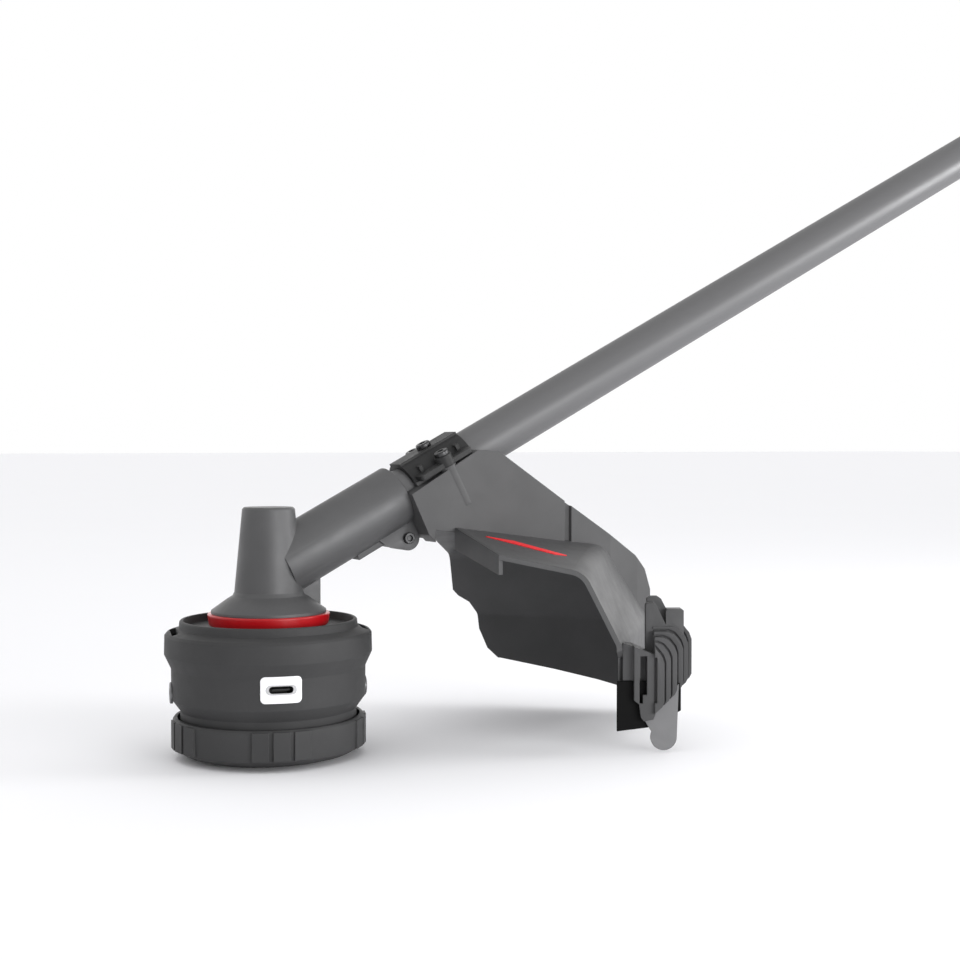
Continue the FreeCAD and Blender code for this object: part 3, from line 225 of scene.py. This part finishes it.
def coated(name, colour, rough, metal, streak=None, wear=0.3, spec=0.5):
    """Painted or anodised metal: fine orange peel, streaks along the part and worn edges."""
    m = Maker(name)
    broad = m.ramp(m.noise(14.0, 6.0, 0.6, streak), 0.35, 0.65)
    base = m.mix(broad, scaled(colour, 0.86), colour)
    edge, soft = m.edges(0.0005)
    chips = m.ramp(m.noise(260.0, 5.0, 0.7), 0.5, 0.62)
    m.drive("Base Color", m.mix(m.worn(edge, chips, wear), base, scaled(colour, 2.2, 0.06)))
    m.drive("Roughness", m.ramp(m.noise(40.0, 6.0, 0.7, streak), 0.3, 0.7, rough - 0.08, rough + 0.1))
    m.drive("Normal", m.bump(m.noise(1500.0, 3.0, 0.6), 0.4, 0.00005, soft))
    m.set("Metallic", metal)
    m.set("Specular IOR Level", spec)
    return m.material


def bare_metal(name, colour, rough):
    """Machined steel, iron, brass or copper with fine tool marks."""
    m = Maker(name)
    m.drive("Base Color", m.mix(m.ramp(m.noise(30.0, 5.0), 0.3, 0.7), scaled(colour, 0.8), colour))
    marks = m.noise(400.0, 3.0, 0.6)
    m.drive("Roughness", m.ramp(marks, 0.3, 0.7, rough - 0.08, rough + 0.12))
    m.drive("Normal", m.bump(marks, 0.25, 0.00003, m.edges(0.0003)[1]))
    m.set("Metallic", 1.0)
    return m.material


def rubber(name, colour):
    """Soft grip with a raised diamond texture."""
    m = Maker(name)
    m.drive("Base Color", m.mix(m.ramp(m.noise(40.0, 5.0), 0.35, 0.65), colour, scaled(colour, 1.35)))
    m.set("Roughness", 0.78)
    cells = m.add("ShaderNodeTexVoronoi", distance="CHEBYCHEV")
    cells.inputs["Scale"].default_value = 420.0
    m.link(m.place, cells.inputs["Vector"])
    coarse = m.bump(cells.outputs["Distance"], 0.5, 0.0003)
    m.drive("Normal", m.bump(m.noise(2200.0), 0.3, 0.00004, coarse))
    return m.material


def socket_metal_with_painted_shade(name):
    """The socket's shell: bright on its rim, with painted shade making it dark down inside."""
    m = Maker(name)
    sideways = m.add("ShaderNodeVectorMath", operation="MULTIPLY")
    sideways.inputs[1].default_value = (1, 1, 0)
    m.link(m.place, sideways.inputs[0])
    reach = m.add("ShaderNodeVectorMath", operation="LENGTH")
    m.link(sideways.outputs["Vector"], reach.inputs[0])
    # Painted shade: the colour darkens from the rim towards the axis, down inside the socket.
    out_of_painted_shade = m.ramp(reach.outputs["Value"], SOCKET_PAINTED_SHADE_TO, SOCKET_UNSHADED_FROM)
    m.drive("Base Color", m.mix(out_of_painted_shade, grey(0.09), grey(0.72)))
    m.drive("Roughness", m.ramp(m.noise(300.0), 0.3, 0.7, 0.3, 0.5))
    m.drive("Normal", m.bump(m.noise(1200.0), 0.2, 0.00002, m.edges(0.0003)[1]))
    m.set("Metallic", 0.3)
    return m.material


# The material of each slot of the record.
BY_SLOT = {
    # cutting head
    "head_plastic": plastic("head_plastic", grey(0.25), 0.6, spec=0.2),
    "knob_plastic": plastic("knob_plastic", grey(0.255), 0.55, wear=0.5, spec=0.2),
    "spool_plastic": plastic("spool_plastic", grey(0.34)),
    "line_nylon": plastic("line_nylon", tone(0.8, 0.2, 0.15), 0.3),
    "eyelet_metal": bare_metal("eyelet_metal", grey(0.5), 0.35),
    "port_white": plastic("port_white", grey(0.97), 0.3, depth=0.00001, wear=0.0, patch=0.008),
    "port_black": plastic("port_black", grey(0.1), 0.45, wear=0.0),
    "port_metal": socket_metal_with_painted_shade("port_metal"),
    # gear case and tube
    "case_metal": coated("case_metal", grey(0.37), 0.5, 0.4, wear=0.45, spec=0.3),
    "collar_red": plastic("collar_red", tone(0.74, 0.05, 0.09), 0.34, wear=0.1, patch=0.05, spec=0.5),
    "tube_coat": coated("tube_coat", grey(0.41), 0.42, 0.25, streak=(0.05, 1, 0.09), wear=0.1, spec=0.3),
    "steel": bare_metal("steel", grey(0.72), 0.28),
    "black_screws": bare_metal("black_screws", grey(0.3), 0.4),
    # guard and line cutter
    "guard_plastic": plastic("guard_plastic", grey(0.31), wear=0.25, spec=0.25),
    "clamp_plastic": plastic("clamp_plastic", grey(0.17), spec=0.25),
    "tongue_plastic": plastic("tongue_plastic", grey(0.5), 0.45, wear=0.2, spec=0.3),
    "blade_steel": coated("blade_steel", grey(0.06), 0.6, 0.1, spec=0.1),
    "badge_red": plastic("badge_red", tone(0.93, 0.16, 0.19), 0.4, wear=0.0, patch=0.02),
    # front handle
    "handle_coat": coated("handle_coat", grey(0.24), 0.45, 0.3),
    "grip_rubber": rubber("grip_rubber", grey(0.17)),
    "knob_black": plastic("knob_black", grey(0.19)),
    # rear handle, motor and battery
    "rear_plastic": plastic("rear_plastic", grey(0.30)),
    "control_red": plastic("control_red", tone(0.72, 0.07, 0.09), 0.38, wear=0.25),
    "battery_plastic": plastic("battery_plastic", grey(0.2), 0.55),
    "fan_plastic": plastic("fan_plastic", grey(0.2)),
    "board_green": plastic("board_green", tone(0.08, 0.3, 0.16), 0.4, wear=0.1),
    "stator_iron": bare_metal("stator_iron", grey(0.45), 0.5),
    "rotor_iron": bare_metal("rotor_iron", grey(0.6), 0.35),
    "copper": bare_metal("copper", tone(0.8, 0.45, 0.25), 0.3),
    "contacts": bare_metal("contacts", tone(0.82, 0.66, 0.36), 0.3)}
SLOT_OF = {row["node"]: row["material_slot"] for row in frame["record"]["subparts"]}
BODY_OF = {node: body for body, nodes in frame["record"]["behaviour"]["bodies"].items()
           for node in nodes}


def dress(thing, material):
    """Give an object one material."""
    thing.data.materials.clear()
    thing.data.materials.append(material)


def dress_cad():
    """Give every CAD node the material of its slot."""
    for node, slot in SLOT_OF.items():
        dress(frame["nodes"][node], BY_SLOT[slot])


def linked(name, data):
    """A new object in the scene."""
    thing = bpy.data.objects.new(name, data)
    bpy.context.scene.collection.objects.link(thing)
    return thing


# ---- finished meshes ----

def cleaned(mesh):
    """Weld the CAD triangles and join those of each flat side into one face."""
    form = bmesh.new()
    form.from_mesh(mesh)
    bmesh.ops.remove_doubles(form, verts=form.verts, dist=SAME_POINT)
    bmesh.ops.dissolve_degenerate(form, dist=SAME_POINT, edges=form.edges)
    bmesh.ops.dissolve_limit(form, angle_limit=math.radians(FLAT_ANGLE), verts=form.verts,
                             edges=form.edges)
    form.to_mesh(mesh)
    form.free()


def round_edges(piece, width):
    """Round every sharp edge of a piece and keep the result as its mesh."""
    bevel = piece.modifiers.new("round", "BEVEL")
    bevel.width = width
    bevel.segments = ROUND_STEPS
    bevel.limit_method = "ANGLE"
    bevel.angle_limit = math.radians(ROUND_ANGLE)
    bevel.use_clamp_overlap = True
    graph = bpy.context.evaluated_depsgraph_get()
    mesh = bpy.data.meshes.new_from_object(piece.evaluated_get(graph))
    piece.modifiers.clear()
    piece.data = mesh


def shade(mesh):
    """Smooth shading that keeps the hard edges."""
    for face in mesh.polygons:
        face.use_smooth = True
    mesh.set_sharp_from_angle(angle=math.radians(HARD_ANGLE))


def finish_node(node, width):
    """Put a cleaned copy of a CAD node, with rounded edges, in the node's place."""
    mesh = frame["nodes"][node].data.copy()
    cleaned(mesh)
    piece = linked(node + "_finished", mesh)
    dress(piece, BY_SLOT[SLOT_OF[node]])
    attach(piece, BODY_OF[node])
    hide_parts(node)
    round_edges(piece, width)
    shade(piece.data)


# ---- floor, light and camera ----

def floor():
    """A plain pale floor under the object."""
    mesh = bpy.data.meshes.new("floor")
    form = bmesh.new()
    bmesh.ops.create_grid(form, x_segments=8, y_segments=8, size=FLOOR_REACH)
    form.to_mesh(mesh)
    form.free()
    ground = linked("floor", mesh)
    m = Maker("floor_white")
    m.drive("Base Color", m.mix(m.noise(3.0), grey(0.985), grey(0.99)))
    m.set("Roughness", 0.9)
    m.set("Specular IOR Level", 0.0)
    dress(ground, m.material)


def look(thing, along):
    """Point a lamp or a camera along a direction."""
    thing.rotation_euler = Vector(along).to_track_quat("-Z", "Y").to_euler()


def lamp(name, spot, aim, size, power):
    """A rectangular area lamp."""
    data = bpy.data.lights.new(name, "AREA")
    data.shape = "RECTANGLE"
    data.size, data.size_y = size
    data.energy = power
    thing = linked(name, data)
    thing.location = spot
    look(thing, Vector(aim) - Vector(spot))


def overhead():
    """A very wide, soft sun above and behind."""
    data = bpy.data.lights.new("overhead", "SUN")
    data.energy = SUN_STRENGTH
    data.angle = math.radians(SUN_SPREAD)
    look(linked("overhead", data), -Vector(SUN_FROM))


def studio():
    """A white horizon, tallest behind the object, under a dim ceiling."""
    world = bpy.data.worlds.new("studio")
    world.use_nodes = True
    nodes, links = world.node_tree.nodes, world.node_tree.links
    direction = nodes.new("ShaderNodeTexCoord")
    height = nodes.new("ShaderNodeVectorMath")
    height.operation = "DOT_PRODUCT"
    height.inputs[1].default_value = HORIZON_UP
    links.new(direction.outputs["Generated"], height.inputs[0])
    ramp = nodes.new("ShaderNodeMapRange")
    ramp.interpolation_type = "SMOOTHSTEP"
    ramp.inputs["From Min"].default_value = HORIZON_BRIGHT_TO
    ramp.inputs["From Max"].default_value = HORIZON_DIM_FROM
    ramp.inputs["To Min"].default_value = 1.0
    ramp.inputs["To Max"].default_value = CEILING
    links.new(height.outputs["Value"], ramp.inputs["Value"])
    links.new(ramp.outputs["Result"], nodes["Background"].inputs["Color"])
    bpy.context.scene.world = world


def camera():
    """The camera at the working end of the tool."""
    data = bpy.data.cameras.new("camera")
    data.lens = CAMERA_LENS
    data.sensor_width = CAMERA_SENSOR
    data.clip_start = CAMERA_NEAR
    thing = linked("camera", data)
    thing.location = CAMERA_PLACE
    look(thing, CAMERA_AIM)
    bpy.context.scene.camera = thing


dress_cad()
for part, radius in ROUNDED.items():
    finish_node(part, radius)
floor()
studio()
lamp("key", KEY_PLACE, KEY_AIM, KEY_SIZE, KEY_POWER)
lamp("side", SIDE_PLACE, SIDE_AIM, SIDE_SIZE, SIDE_POWER)
overhead()
camera()
bpy.context.scene.view_settings.view_transform = "Standard"
